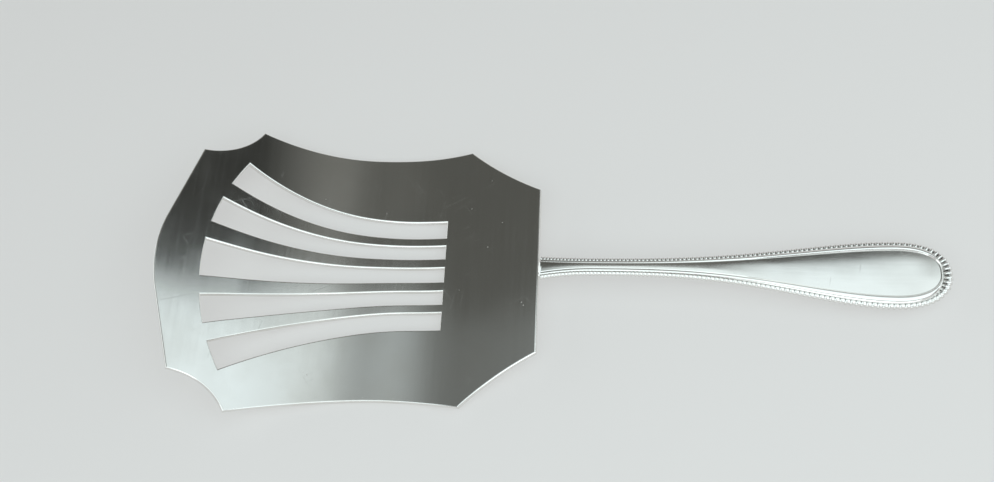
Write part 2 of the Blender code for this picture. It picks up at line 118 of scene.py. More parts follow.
# %% Sky
HORIZON = (0.78, 0.78, 0.78, 1.0)
LEFT_SKY = (0.090, 0.092, 0.083, 1.0)
MIDDLE_SKY = (0.180, 0.184, 0.170, 1.0)
RIGHT_SKY = (0.030, 0.031, 0.028, 1.0)
world = bpy.data.worlds.new("studio")
world.use_nodes = True
bpy.context.scene.world = world
sky = world.node_tree
way = add_node(sky, "SeparateXYZ", {"Vector": add_node(sky, "TexCoord").outputs["Generated"]}).outputs
right_half = blend(sky, fade(sky, way["X"], 0.06, 0.38), MIDDLE_SKY, RIGHT_SKY)
overhead = blend(sky, fade(sky, way["X"], -0.18, -0.06), LEFT_SKY, right_half)
shade = blend(sky, fade(sky, way["Z"], 0.05, 0.60), HORIZON, overhead)
sky.links.new(shade, sky.nodes["Background"].inputs["Color"])
print("Sky nodes:", len(sky.nodes))

# %% Lamps
LAMP_COLOUR = (0.885, 1.0, 1.02)


def add_lamp(name, place, aim, width, depth, radiance):
    """Rectangular soft lamp at a place, turned towards a point, with its power from its radiance."""
    start_step()
    turn = (Vector(aim) - Vector(place)).to_track_quat("-Z", "Y").to_euler()
    bpy.ops.object.light_add(type="AREA", location=place, rotation=turn)
    lamp = bpy.context.object
    lamp.name = name
    lamp.data.shape = "RECTANGLE"
    lamp.data.size, lamp.data.size_y = width, depth
    lamp.data.energy = radiance * math.pi * width * depth
    lamp.data.color = LAMP_COLOUR
    lamp.visible_camera = False
    print(name, "lamp:", round(lamp.data.energy, 2), "W")
    return lamp


SOFTBOX_HEIGHT = 0.50


def add_softbox(name, left, right, near, far, radiance):
    """Flat lamp over the table, between its left and right ends and its near and far edges."""
    middle = Vector((0.5 * (left + right), 0.5 * (near + far), SOFTBOX_HEIGHT))
    return add_lamp(name, middle, middle - Vector((0.0, 0.0, 1.0)), right - left, far - near, radiance)


add_softbox("near_softbox", -0.45, 0.80, -0.80, -0.09, 1.3)
handle_softbox = add_softbox("handle_softbox", 0.17, 0.64, -0.09, 0.274, 1.0)
blade_softbox = add_softbox("blade_softbox", -0.34, 0.17, -0.09, 0.229, 1.0)

# %% [markdown]
# ## Softboxes that fade
#
# The bent blade shows a softbox stretched over its whole length, so an even lamp would leave one flat pale
# patch with a hard border. A real softbox is brighter in its middle. Here each lamp's strength rises from
# its left end, read from the place on the lamp, and the sheen fades along the blade.

# %% Fading softboxes
def fade_lamp(lamp, *rises):
    """Let a lamp grow brighter from its left end: each rise has a start, an end and two strengths."""
    lamp.data.use_nodes = True
    tree = lamp.data.node_tree
    spot = add_node(tree, "NewGeometry").outputs["Parametric"]
    across = add_node(tree, "SeparateXYZ", {"Vector": spot}).outputs["X"]
    strength = 0.0
    for rise in rises:
        strength = combine(tree, "ADD", fade(tree, across, *rise, kind="SMOOTHSTEP"), strength)
    tree.links.new(strength, tree.nodes["Emission"].inputs["Strength"])
    print(lamp.name, "fades with", len(tree.nodes), "nodes")


fade_lamp(blade_softbox, (0.20, 0.55, 0.07, 0.52), (0.35, 1.15, 0.0, 0.56))
fade_lamp(handle_softbox, (0.0, 0.22, 0.88, 1.05))

# %% Cards
# Each card: name, place, aim, width, height and radiance.
CARDS = (("near_card", (0.05, -0.95, 0.15), (0.05, 0.0, 0.15), 1.3, 0.26, 1.15),
         ("right_card", (1.10, 0.45, 0.60), (0.0, 0.45, 0.60), 1.5, 0.9, 0.80),
         ("left_card", (-1.10, 0.30, 0.42), (0.0, 0.30, 0.42), 1.6, 0.75, 0.90))
for card in CARDS:
    add_lamp(*card)
print("Cards:", len(CARDS))

# %% [markdown]
# ## Table
#
# A plain pale plane lies just under the server. It only has to catch the shadow and to give the silver
# something light to reflect, so a single plane is enough. For what is seen, directly or in the silver, half
# of its light is a steady glow, so that it stays pale all over and still keeps the shadow.

# %% Table
TABLE_SIZE, TABLE_GAP = 8.0, 0.0002
GLOW_SHARE = 0.5
start_step()
bpy.ops.mesh.primitive_plane_add(size=TABLE_SIZE, location=(0.0, 0.0, -TABLE_GAP))
table = bpy.context.object
table.name = "table"
table_paint = bpy.data.materials.new("table_paint")
table_paint.use_nodes = True
tree = table_paint.node_tree
paint = tree.nodes["Principled BSDF"]
paint.inputs["Base Color"].default_value = (0.74, 0.74, 0.73, 1.0)
paint.inputs["Roughness"].default_value = 0.9
rays = add_node(tree, "LightPath").outputs
seen = combine(tree, "MAXIMUM", rays["Is Camera Ray"], rays["Is Glossy Ray"])
seen = combine(tree, "MAXIMUM", seen, rays["Is Transmission Ray"])
glow = add_node(tree, "Emission", {"Color": (0.80, 0.80, 0.79, 1.0)}).outputs["Emission"]
glow_share = combine(tree, "MULTIPLY", seen, GLOW_SHARE)
both = add_node(tree, "MixShader", {0: glow_share, 1: paint.outputs["BSDF"], 2: glow})
tree.links.new(both.outputs["Shader"], tree.nodes["Material Output"].inputs["Surface"])
table.data.materials.append(table_paint)
print("Table:", table.dimensions.x, "m square")

# %% [markdown]
# ## Blade: the flat blank
#
# A silversmith saws the blade out of flat sheet, slots and all, and bends it afterwards. A flat curve
# with holes does the same: each spline is an edge of the sheet, Extrude gives the thickness, and Bevel
# softens the edges all round. The outline is drawn as the sheet lies before bending, so a place along X
# in plan is first unrolled.

# %% Blade sizes and the unrolled sheet
SHEET = 0.0020
EDGE = 0.00045
NOSE = -0.12388
REAR_EDGE = -0.00358
BED_FRONT = -0.06038
BED_REAR = -0.04638
FRONT_BEND, FRONT_SLOPE = 0.099, math.radians(23.6)
REAR_BEND, REAR_SLOPE = 0.106, math.radians(10.4)


def unrolled(x):
    """Where a plan place x lies along the flat blank."""
    if BED_FRONT <= x <= BED_REAR:
        return x
    bends = ((BED_FRONT, -1.0, FRONT_BEND, FRONT_SLOPE), (BED_REAR, 1.0, REAR_BEND, REAR_SLOPE))
    start, way, radius, slope = bends[0] if x < BED_FRONT else bends[1]
    beyond = abs(x - start)
    in_bend = min(beyond, radius * math.sin(slope))
    length = radius * math.asin(in_bend / radius) + (beyond - in_bend) / math.cos(slope)
    return start + way * length


print("Blank:", round(1000.0 * (unrolled(REAR_EDGE) - unrolled(NOSE)), 1), "mm long before bending")

# %% Blade outline
NOSE_RADIUS, NOSE_STEPS = 0.050, 20
CORNER = Vector((NOSE + 0.0088, 0.0390))
SHOULDER = Vector((NOSE + 0.0260, 0.0499))
HEEL = Vector((REAR_EDGE - 0.0236, 0.0454))
REAR_CORNER = Vector((REAR_EDGE, 0.0288))
SCALLOP, SIDE_HOLLOW, HEEL_HOLLOW = 0.0028, 0.0042, 0.0010


def hollow(start, end, depth, steps):
    """Points from start to just before end, on an arc that dips inwards by depth."""
    along = (end - start).normalized()
    inward = Vector((along.y, -along.x))
    half = 0.5 * (end - start).length
    radius = (half * half + depth * depth) / (2.0 * depth)
    centre = 0.5 * (start + end) + inward * (depth - radius)
    sweep = math.asin(half / radius)
    points = []
    for step in range(steps):
        angle = sweep * (2.0 * step / steps - 1.0)
        points.append(centre + radius * (math.sin(angle) * along + math.cos(angle) * inward))
    return points


def mirrored(points):
    """The same points on the other side of the middle line."""
    return [Vector((point.x, -point.y)) for point in points]


nose_centre = Vector((NOSE + NOSE_RADIUS, 0.0))
reach = CORNER - nose_centre
nose_sweep = math.atan2(reach.y, -reach.x) - math.acos(NOSE_RADIUS / reach.length)
half_outline = []
for step in range(NOSE_STEPS + 1):
    angle = nose_sweep * step / NOSE_STEPS
    half_outline.append(nose_centre + NOSE_RADIUS * Vector((-math.cos(angle), math.sin(angle))))
half_outline += hollow(CORNER, SHOULDER, SCALLOP, steps=24)
half_outline += hollow(SHOULDER, HEEL, SIDE_HOLLOW, steps=40)
half_outline += hollow(HEEL, REAR_CORNER, HEEL_HOLLOW, steps=16)
half_outline.append(REAR_CORNER)
blade_outline = half_outline + mirrored(half_outline[:0:-1])
print("Blade outline:", len(blade_outline), "points")

# %% Slots
SLOT_REAR = -0.03438
SLOT_LENGTH = 0.0760
SLOT_STRAIGHT = 0.009
SLOT_STEPS, SLOT_END_STEPS = 28, 8
# How far each long edge lies from the middle line, at the rear and at the front.
SLOT_EDGES = ((0.0025, 0.0065), (0.0058, 0.0131), (0.0104, 0.0222), (0.0134, 0.0282), (0.0193, 0.0367))


def slot_edge(rear_y, front_y):
    """A slot's long edge: a straight run from the rear, then an arc that fans out."""
    flare = SLOT_REAR - SLOT_STRAIGHT
    run = flare - SLOT_REAR + math.sqrt(SLOT_LENGTH ** 2 - front_y ** 2)
    spread = front_y - rear_y
    radius = (run * run + spread * spread) / (2.0 * spread)
    sweep = math.asin(run / radius)
    points = [Vector((SLOT_REAR, rear_y))]
    for step in range(SLOT_STEPS + 1):
        angle = sweep * step / SLOT_STEPS
        points.append(Vector((flare - radius * math.sin(angle), rear_y + radius * (1.0 - math.cos(angle)))))
    return points


def slot_outline(inner, outer):
    """A closed slot: its rear end is straight, and its front end lies on an arc about the rear."""
    front = []
    for step in range(1, SLOT_END_STEPS):
        y = inner[-1].y + (outer[-1].y - inner[-1].y) * step / SLOT_END_STEPS
        front.append(Vector((SLOT_REAR - math.sqrt(SLOT_LENGTH ** 2 - y * y), y)))
    return inner + front + outer[::-1]


edges = [slot_edge(rear_y, front_y) for rear_y, front_y in SLOT_EDGES]
slots = [slot_outline(mirrored(edges[0]), edges[0])]
for inner, outer in ((edges[1], edges[2]), (edges[3], edges[4])):
    slot = slot_outline(inner, outer)
    slots += [slot, mirrored(slot)]
print("Slots:", len(slots))

# %% Blank from a flat curve
def millimetres(sizes, digits=1):
    """Sizes in millimetres, rounded for printing."""
    return [round(1000.0 * size, digits) for size in sizes]


start_step()
bpy.ops.curve.primitive_bezier_circle_add(radius=0.01, location=(0.0, 0.0, 0.5 * SHEET))
blade = bpy.context.object
blade.name = "blade_sheet"
blank = blade.data
blank.splines.clear()
for outline in [blade_outline, *slots]:
    spline = blank.splines.new("POLY")
    spline.points.add(len(outline) - 1)
    for spot, point in zip(spline.points, outline):
        spot.co = (unrolled(point.x), point.y, 0.0, 1.0)
    spline.use_cyclic_u = True
blank.dimensions = "2D"
blank.fill_mode = "BOTH"
blank.extrude = 0.5 * SHEET - EDGE
blank.bevel_depth = EDGE
blank.bevel_resolution = 3
blank.offset = -EDGE
bpy.ops.object.convert(target="MESH")
bpy.ops.object.transform_apply(location=True, rotation=True, scale=True)
print("Blank:", len(blade.data.polygons), "faces,", millimetres(blade.dimensions, 2), "mm")

# %% [markdown]
# ## Blade: bending the scoop
#
# The sheet is rolled up at the nose and, more gently, at the rear. The Bend tool needs a window, so the
# blank is cut across with Bisect along many straight lines, as on a folding press, and all that lies
# beyond a line is turned by a small angle about it. The lines are wide apart near the middle of the bed
# and then even, so the curve sets in softly and its reflection has no hard border. The outermost line
# comes first, so that the lines nearer to the bed still lie flat when their turn comes.

# %% Bend lines
FRONT_LINES, REAR_LINES = 42, 20
MERGE_DISTANCE = 1e-6
BED_MIDDLE = 0.5 * (BED_FRONT + BED_REAR)
BED_LENGTH = BED_REAR - BED_FRONT


def bend_lines(way, radius, slope, count):
    """Places of the bend lines on the flat blank, from the bed's middle: wide apart at first, then even."""
    lines = []
    for line in range(count):
        turned = radius * slope * (line + 0.5) / count
        if turned < 0.5 * BED_LENGTH:
            away = math.sqrt(2.0 * BED_LENGTH * turned)
        else:
            away = turned + 0.5 * BED_LENGTH
        lines.append(BED_MIDDLE + way * away)
    return lines


def edit_all():
    """Enter edit mode with everything selected."""
    bpy.ops.object.mode_set(mode="EDIT")
    bpy.ops.mesh.select_all(action="SELECT")


front_lines = bend_lines(-1.0, FRONT_BEND, FRONT_SLOPE, FRONT_LINES)
rear_lines = bend_lines(1.0, REAR_BEND, REAR_SLOPE, REAR_LINES)
edit_all()
bpy.ops.mesh.remove_doubles(threshold=MERGE_DISTANCE)
for place in front_lines + rear_lines:
    bpy.ops.mesh.select_all(action="SELECT")
    bpy.ops.mesh.bisect(plane_co=(place, 0.0, 0.0), plane_no=(1.0, 0.0, 0.0))
bpy.ops.object.mode_set(mode="OBJECT")
print("Cut blank:", len(blade.data.vertices), "vertices")

# %% Bending
flat_x = [vert.co.x for vert in blade.data.vertices]


def select_vertices(piece, chosen):
    """Select the vertices that a list of True and False names, and nothing else."""
    piece.data.edges.foreach_set("select", [False] * len(piece.data.edges))
    piece.data.polygons.foreach_set("select", [False] * len(piece.data.polygons))
    piece.data.vertices.foreach_set("select", chosen)


def bend(place, way, angle):
    """Turn all of the sheet beyond a line, about that line on the sheet's upper face."""
    select_vertices(blade, [way * (x - place) > MERGE_DISTANCE for x in flat_x])
    bpy.ops.object.mode_set(mode="EDIT")
    bpy.ops.transform.rotate(value=way * angle, orient_axis="Y", orient_type="GLOBAL",
                             center_override=(place, 0.0, SHEET))
    bpy.ops.object.mode_set(mode="OBJECT")


bpy.context.tool_settings.mesh_select_mode = (True, False, False)
for place in front_lines[::-1]:
    bend(place, -1.0, FRONT_SLOPE / FRONT_LINES)
for place in rear_lines[::-1]:
    bend(place, 1.0, REAR_SLOPE / REAR_LINES)
edit_all()
bpy.ops.mesh.normals_make_consistent(inside=False)
bpy.ops.object.mode_set(mode="OBJECT")
bpy.ops.object.shade_smooth_by_angle(angle=math.radians(10.0))
print("Blade:", millimetres(blade.dimensions), "mm")

# %% [markdown]
# ## Handle: sizes along its length
#
# The handle is slender at the neck and swells into a spoon-shaped tail. Its width, thickness and height
# change smoothly, so each is a function of the place along X. The rows below run across the handle, and
# both half shells and the beaded wire are laid on them.

# %% Handle sizes
MOUTH = -0.001419
NECK = 0.013581
TAIL = 0.107181
TAIL_LENGTH = 0.0175
TAIL_HALF_WIDTH = 0.0117
TIP_LIFT = 0.0014
SWELL_DELAY = 1.5
# At the mouth, the neck and the tail.
HALF_WIDTHS = (0.0039, 0.0031, TAIL_HALF_WIDTH)
SEAM_HEIGHTS = (0.0080848, 0.0090, 0.0044)


def mix(a, b, share):
    """The value that lies a share of the way from a to b."""
    return a + (b - a) * share


def held(value):
    """A value held between 0 and 1."""
    return min(max(value, 0.0), 1.0)


def swell(x):
    """Share of the way from the neck's sizes to the tail's."""
    way = held((x - NECK) / (TAIL - NECK)) ** SWELL_DELAY
    return way * way * (3.0 - 2.0 * way)


def along_handle(mouth, neck, tail, x):
    """A size at x, from its values at the mouth, the neck and the tail."""
    mouth_share = max((NECK - x) / (NECK - MOUTH), 0.0) ** 2
    return mix(neck, tail, swell(x)) + (mouth - neck) * mouth_share


def half_width(x):
    """Half of the handle's width."""
    return along_handle(*HALF_WIDTHS, x)


def seam_height(x):
    """Height of the seam between the half shells: the tip curves up a little."""
    lift = TIP_LIFT * max((x - TAIL) / TAIL_LENGTH, 0.0) ** 2
    return along_handle(*SEAM_HEIGHTS, x) + lift


print("Handle width, neck to tail:", 2000.0 * half_width(NECK), "to", 2000.0 * half_width(TAIL), "mm")

# %% Heights of the shells
# At the neck and the tail, and for the back's crown at the mouth too.
UPPER_BORDER = (0.0012, 0.00215)
BACK_BORDER = (0.0018, 0.0022)
PANEL_CROWN = (0.00018, 0.00010)
BACK_CROWN = (0.0031, 0.0028, 0.0044)
PANEL_PACE = 3.0


def early_swell(x, pace):
    """Swell that reaches the tail's sizes sooner."""
    return held(pace * swell(x))


def border_height(x, up):
    """Border of the upper (up = 1) or lower (up = -1) shell, from the seam."""
    return mix(*(UPPER_BORDER if up > 0.0 else BACK_BORDER), swell(x))


def crown(x, up):
    """Middle line from the seam: the upper panel is nearly flat, and the back is round."""
    if up > 0.0:
        return border_height(x, up) + mix(*PANEL_CROWN, early_swell(x, PANEL_PACE))
    return along_handle(*BACK_CROWN, x)


print("Panel over the seam, neck to tail:", millimetres((crown(NECK, 1.0), crown(TAIL, 1.0)), 2), "mm")

# %% Sizes of the beads
BEAD_REACH = (0.00095, 0.0012)
BEAD_DROP = (1.1, 1.4)
TIP_STRETCH = 0.30


def bead_reach(x):
    """Half of a bead's height."""
    return mix(*BEAD_REACH, swell(x))


def bead_across(point, outward):
    """Half of a bead's length across the wire: the beads round the tip are longer."""
    return bead_reach(point.x) * (1.0 + TIP_STRETCH * outward.x ** 2)


def bead_height(x):
    """Height of a bead's middle from the seam: it lies lower under the tail's thread than at the neck."""
    return border_height(x, 1.0) - bead_reach(x) * mix(*BEAD_DROP, swell(x))


print("Bead height, neck to tail:", millimetres((2.0 * bead_reach(NECK), 2.0 * bead_reach(TAIL)), 2), "mm")

# %% Outline of the handle
TAIL_FULLNESS = 2.3
NUDGE = 1e-5


def side_point(x):
    """Handle outline beside x, and its outward direction, in plan."""
    slope = (half_width(x + NUDGE) - half_width(x - NUDGE)) / (2.0 * NUDGE)
    return Vector((x, half_width(x))), Vector((-slope, 1.0)).normalized()


def tail_point(angle):
    """Outline of the rounded tail, from its widest place (0) to the tip (a quarter turn)."""
    along = math.sin(angle) ** (2.0 / TAIL_FULLNESS)
    across = max(math.cos(angle), 0.0) ** (2.0 / TAIL_FULLNESS)
    steep = TAIL_FULLNESS - 1.0
    outward = Vector((along ** steep / TAIL_LENGTH, across ** steep / TAIL_HALF_WIDTH))
    return Vector((TAIL + TAIL_LENGTH * along, TAIL_HALF_WIDTH * across)), outward.normalized()


print("Handle tip:", millimetres(tail_point(0.5 * math.pi)[0]), "mm")

# %% [markdown]
# ## Handle: the stamped half shells
#
# Each half is stamped in a die. The upper one has a nearly flat panel that is sunk a little, a fine groove
# round it, and a round thread that stands higher than the panel and falls steeply to the beads. The thread
# and the groove run out towards the neck. The lower half is plain and round. A grid is the natural start,
# because its rows and columns can be laid across and along the handle. Solidify then gives the stamped
# sheet its thickness.

# %% Rows across the handle
MOUTH_EDGE = -0.0026
BODY_ROWS, TAIL_ROWS = 80, 32


def shell_rows():
    """Rows across the +Y half: outline point, outward direction, place on the middle line."""
    rows = []
    for row in range(BODY_ROWS):
        x = mix(MOUTH_EDGE, TAIL, row / BODY_ROWS)
        rows.append((*side_point(x), x))
    for row in range(TAIL_ROWS + 1):
        angle = 0.5 * math.pi * row / TAIL_ROWS
        middle = TAIL + (TAIL_LENGTH - TAIL_HALF_WIDTH) * math.sin(angle)
        rows.append((*tail_point(angle), middle))
    return rows


print("Rows across the handle:", len(shell_rows()))

# %% Thread and groove
KNEE, KNEE_RISE = 0.22, 0.58
CREST = 0.73
BACK_CORNER = 0.35
NECK_GROOVE, GROOVE_PACE = 0.35, 2.0


def thread_point(share, border, foot, rise, up):
    """Share of the way across the thread and height on it: a round rib above, a rounded corner below."""
    if up < 0.0:
        angle = 0.5 * math.pi * share
        return 1.0 - math.cos(angle), border * mix(BACK_CORNER, 1.0, math.sin(angle))
    if share < KNEE:
        return share, mix(foot, border + rise, KNEE_RISE * share / KNEE)
    if share < CREST:
        knee = mix(foot, border + rise, KNEE_RISE)
        return share, mix(knee, border + rise, math.sin(0.5 * math.pi * (share - KNEE) / (CREST - KNEE)))
    return share, border + rise * math.cos(0.5 * math.pi * (share - CREST) / (1.0 - CREST))


def groove_share(x):
    """Depth of the groove at x, as a share of its depth at the tail: it is rubbed shallow at the neck."""
    return mix(NECK_GROOVE, 1.0, early_swell(x, GROOVE_PACE))


print("Groove depth, neck to tail:", groove_share(NECK), "to", groove_share(TAIL), "of the full depth")

# %% Insets of the wall and the panel
# At the neck and the tail: the walls' in half beads from a bead's middle, the panels' in metres.
SIDE_INSET, TIP_INSET = (0.45, 0.2), (0.45, 0.75)
BACK_INSET = 0.9
UPPER_PANEL, BACK_PANEL = (0.0020, 0.0037), (0.0020, 0.00325)
BACK_TIP = 0.0005


def wall_inset(growth, tip_share, up):
    """How far the shell's wall lies inside the middle of a bead."""
    if up < 0.0:
        return BACK_INSET
    return mix(*SIDE_INSET, growth) + mix(*TIP_INSET, growth) * tip_share


def panel_inset(growth, tip_share, up):
    """How far the panel's edge lies inside the outline."""
    if up < 0.0:
        return mix(*BACK_PANEL, growth) + BACK_TIP * tip_share
    return mix(*UPPER_PANEL, growth)


print("Panel's edge at the tail:", millimetres([panel_inset(1.0, 0.0, 1.0)]), "mm inside the outline")

# %% Section of a shell
THREAD_STEPS, PANEL_STEPS = 12, 10
THREAD_RISE = 0.00055
FOOT_DROP = 0.25
GROOVE_WIDTH, GROOVE_DEPTH = 0.00030, 0.00016
SEAM_GAP = 0.00015
PANEL_FLATNESS, BACK_FLATNESS = 3.0, 2.0


def shell_section(point, outward, middle_x, up):
    """Half a section: plan place and distance from the seam, from the seam to the middle line."""
    border = border_height(point.x, up)
    reach = bead_reach(point.x)
    growth = swell(point.x)
    tip_share = outward.x ** 2
    inset = wall_inset(growth, tip_share, up)
    wall = point - outward * (bead_across(point, outward) if up > 0.0 else reach) * (1.0 + inset)
    panel_edge = point - outward * panel_inset(growth, tip_share, up)
    foot = bead_height(point.x) + reach * (math.sqrt(1.0 - inset * inset) - FOOT_DROP * growth)
    points = [(wall, SEAM_GAP)]
    for step in range(THREAD_STEPS + 1):
        across, height = thread_point(step / THREAD_STEPS, border, foot, THREAD_RISE * growth, up)
        points.append((wall.lerp(panel_edge, across), height))
    way = Vector((middle_x, 0.0)) - panel_edge
    groove = GROOVE_WIDTH / way.length
    depth = groove_share(point.x) * GROOVE_DEPTH if up > 0.0 else 0.0
    points.append((panel_edge + way * 0.5 * groove, border - depth))
    flatness = PANEL_FLATNESS if up > 0.0 else BACK_FLATNESS
    for step in range(PANEL_STEPS + 1):
        share = mix(groove, 1.0, step / PANEL_STEPS)
        height = mix(border, crown(middle_x, up), 1.0 - (1.0 - share) ** flatness)
        points.append((panel_edge + way * share, height))
    return points


GROOVE_POINT = THREAD_STEPS + 2
print("Section of a shell:", len(shell_section(*shell_rows()[0], 1.0)), "points")

# %% Half shells
SHELL_WALL = 0.0006
SMOOTH_ANGLE = math.radians(40.0)
# How fast the painted shade in the groove fades out towards the neck.
GROOVE_SHADE_FADE = 4


def add_shell(name, up):
    """Lay a grid over the sections, upper half (up = 1) or lower half (up = -1)."""
    start_step()
    sections = [shell_section(*row, up) for row in shell_rows()]
    half = len(sections[0])
    columns = 2 * half - 1
    bpy.ops.mesh.primitive_grid_add(x_subdivisions=len(sections) - 1, y_subdivisions=columns - 1, size=1.0)
    shell = bpy.context.object
    shell.name = name
    patina_and_shade = shell.data.attributes.new("patina_and_shade", "FLOAT", "POINT")
    for vert in shell.data.vertices:
        row = round((vert.co.x + 0.5) * (len(sections) - 1))
        column = round((vert.co.y + 0.5) * (columns - 1))
        side = -1.0 if column < half else 1.0
        rim = column if column < half else columns - 1 - column
        place, height = sections[row][rim]
        # The groove round the panel is painted dark: partly tarnish in the hollow, partly painted shade for
        # the groove's dark line, fading out towards the neck.
        in_groove = rim == GROOVE_POINT and up > 0.0
        patina_and_shade.data[vert.index].value = swell(place.x) ** GROOVE_SHADE_FADE if in_groove else 0.0
        vert.co = (place.x, side * place.y, seam_height(place.x) + up * height)
    edit_all()
    bpy.ops.mesh.remove_doubles(threshold=MERGE_DISTANCE)
    if up < 0.0:
        bpy.ops.mesh.flip_normals()
    bpy.ops.object.mode_set(mode="OBJECT")
    wall = shell.modifiers.new("wall", "SOLIDIFY")
    wall.thickness = SHELL_WALL
    wall.offset = -1.0
    bpy.ops.object.modifier_apply(modifier="wall")
    bpy.ops.object.shade_smooth_by_angle(angle=SMOOTH_ANGLE)
    print(name + ":", len(shell.data.polygons), "faces")
    return shell


top_shell = add_shell("top_shell", 1.0)
back_shell = add_shell("back_shell", -1.0)

# %% [markdown]
# ## Filling
#
# The hollow handle is filled with cement, which backs the thin shells and holds the tang. It is a cast, so
# it takes the inner form of the shells: a grid is laid round their sections, a little inside the walls, and
# its ends are closed.

# %% Filling between the shells
FILLING_GAP = 0.0003
FILLING_START = 0.0040


def filling_section(row):
    """Half a section: plan place and height from the seam, from the upper middle line to the lower."""
    halves = []
    for up in (1.0, -1.0):
        panel = shell_section(*row, up)[GROOVE_POINT + 1:]
        halves.append([(place, up * (height - SHELL_WALL - FILLING_GAP)) for place, height in panel])
    return halves[0][::-1] + halves[1]


filling_sections = [filling_section(row) for row in shell_rows() if row[0].x > FILLING_START]
last_row = len(filling_sections) - 1
half = len(filling_sections[0])
last_column = 2 * half - 1
start_step()
bpy.ops.mesh.primitive_grid_add(x_subdivisions=last_row, y_subdivisions=last_column, size=1.0)
filling = bpy.context.object
filling.name = "cast_filling"
for vert in filling.data.vertices:
    row = round((vert.co.x + 0.5) * last_row)
    column = round((vert.co.y + 0.5) * last_column)
    side = 1.0 if column < half else -1.0
    place, height = filling_sections[row][column if column < half else last_column - column]
    vert.co = (place.x, side * place.y, seam_height(place.x) + height)
edit_all()
bpy.ops.mesh.remove_doubles(threshold=MERGE_DISTANCE)
bpy.ops.mesh.select_all(action="DESELECT")
bpy.ops.mesh.select_non_manifold()
bpy.ops.mesh.fill_holes(sides=0)
bpy.ops.mesh.select_all(action="SELECT")
bpy.ops.mesh.normals_make_consistent(inside=False)
bpy.ops.object.mode_set(mode="OBJECT")
bpy.ops.object.shade_smooth_by_angle(angle=SMOOTH_ANGLE)
print("Filling:", len(filling.data.polygons), "faces,", millimetres(filling.dimensions), "mm")

# %% [markdown]
# ## Beaded wire
#
# A beaded wire is soldered round the handle over the seam. On the real wire the beads are rolled, each
# a little wider than long. They grow coarser from the mouth to the tip, and round the tip they reach
# furthest in. One bead is modelled from a small sphere and copied along the outline, and a thin core joins
# the beads, as the wire's own core does.

# %% Path of the wire
WIRE_END = -0.0033
TAIL_STEPS, SIDE_STEPS = 600, 1800
FIRST_PITCH, PITCH_GROWTH = 0.00106, 0.0060


def wire_path():
    """The +Y half of the outline, tip to mouth: place, outward direction."""
    path = [tail_point(0.5 * math.pi * (1.0 - step / TAIL_STEPS)) for step in range(TAIL_STEPS)]
    path += [side_point(mix(TAIL, WIRE_END, step / SIDE_STEPS)) for step in range(SIDE_STEPS + 1)]
    return path


def bead_pitch(x):
    """Distance from bead to bead: it grows evenly from the mouth to the tip."""
    return FIRST_PITCH + PITCH_GROWTH * x


def bead_places():
    """Beads of the +Y half, tip to mouth: place on the outline, outward direction."""
    places = []
    travelled, due = 0.0, 0.0
    path = wire_path()
    for (point, outward), (following, _) in zip(path, path[1:]):
        if travelled >= due:
            places.append((point, outward))
            due += bead_pitch(point.x)
        travelled += (following - point).length
    return places


half_beads = bead_places()
other_beads = [(Vector((point.x, -point.y)), Vector((outward.x, -outward.y)))
               for point, outward in half_beads[1:]]
beads = half_beads[::-1] + other_beads
print("Beads:", len(beads))

# %% One bead
start_step()
bpy.ops.mesh.primitive_uv_sphere_add(segments=12, ring_count=7, radius=1.0)
bead = bpy.context.object
bpy.ops.object.mode_set(mode="EDIT")
bpy.ops.transform.rotate(value=0.5 * math.pi, orient_axis="Y", orient_type="GLOBAL",
                         center_override=(0.0, 0.0, 0.0))
bpy.ops.object.mode_set(mode="OBJECT")
bpy.ops.object.shade_smooth()
bead.data.attributes.new("patina_and_shade", "FLOAT", "POINT")
print("One bead:", len(bead.data.polygons), "faces")

# %% Place of a bead, and its patina and painted shade
HALF_FILL = 0.475
PIT_START, PIT_LENGTH = 0.55, 0.35
# How far out the painted shade lasts on the near side, on the far side and round the tip.
NEAR_LIMIT, FAR_LIMIT, TIP_LIMIT = -0.15, 0.35, 0.6
LIMIT_BLUR = 0.25


def bead_centre(point, outward):
    """Middle of a bead: it lies beside the foot of the upper thread."""
    centre = point - outward * bead_across(point, outward)
    return Vector((centre.x, centre.y, seam_height(point.x) + bead_height(point.x)))


def pit_shade(along, out, up, outward):
    """Patina and painted shade on a bead: dark at its ends and on its upper side, where the gaps between the
    beads fall into shade, and less far out on the lit near side than on the far side and round the tip.
    """
    if up < 0.0:
        return 0.0
    tip_share = outward.x ** 2 * held(1.0 + 3.0 * outward.y)
    limit = mix(NEAR_LIMIT, FAR_LIMIT, 0.5 * (1.0 + outward.y)) + TIP_LIMIT * tip_share
    return held((abs(along) - PIT_START) / PIT_LENGTH) * held((limit - out) / LIMIT_BLUR)


def bead_matrix(point, outward):
    """Place, turn and stretch of a bead: along the wire, across it and upwards."""
    along = (outward.y, -outward.x, 0.0)
    turn = Matrix((along, (outward.x, outward.y, 0.0), (0.0, 0.0, 1.0))).transposed().to_4x4()
    half_length = HALF_FILL * bead_pitch(point.x)
    size = Matrix.Diagonal((half_length, bead_across(point, outward), bead_reach(point.x), 1.0))
    return Matrix.Translation(bead_centre(point, outward)) @ turn @ size


print("Bead at the tip:", millimetres(bead_matrix(*half_beads[0]).to_scale(), 2), "mm to each side")

# %% Beads along the wire
for point, outward in beads[1:]:
    copy = bead.copy()
    copy.data = bead.data.copy()
    copy.matrix_world = bead_matrix(point, outward)
    # Painted shade in the gaps between the beads, in the dark colour of patina.
    for vert, patina_and_shade in zip(copy.data.vertices, copy.data.attributes["patina_and_shade"].data):
        patina_and_shade.value = pit_shade(*vert.co, outward)
    bpy.context.collection.objects.link(copy)
    copy.select_set(True)
bead.matrix_world = bead_matrix(*beads[0])
bpy.ops.object.join()
wire = bpy.context.object
wire.name = "beaded_wire"
bpy.ops.object.transform_apply(location=True, rotation=True, scale=True)
print("Beads joined:", len(wire.data.polygons), "faces")

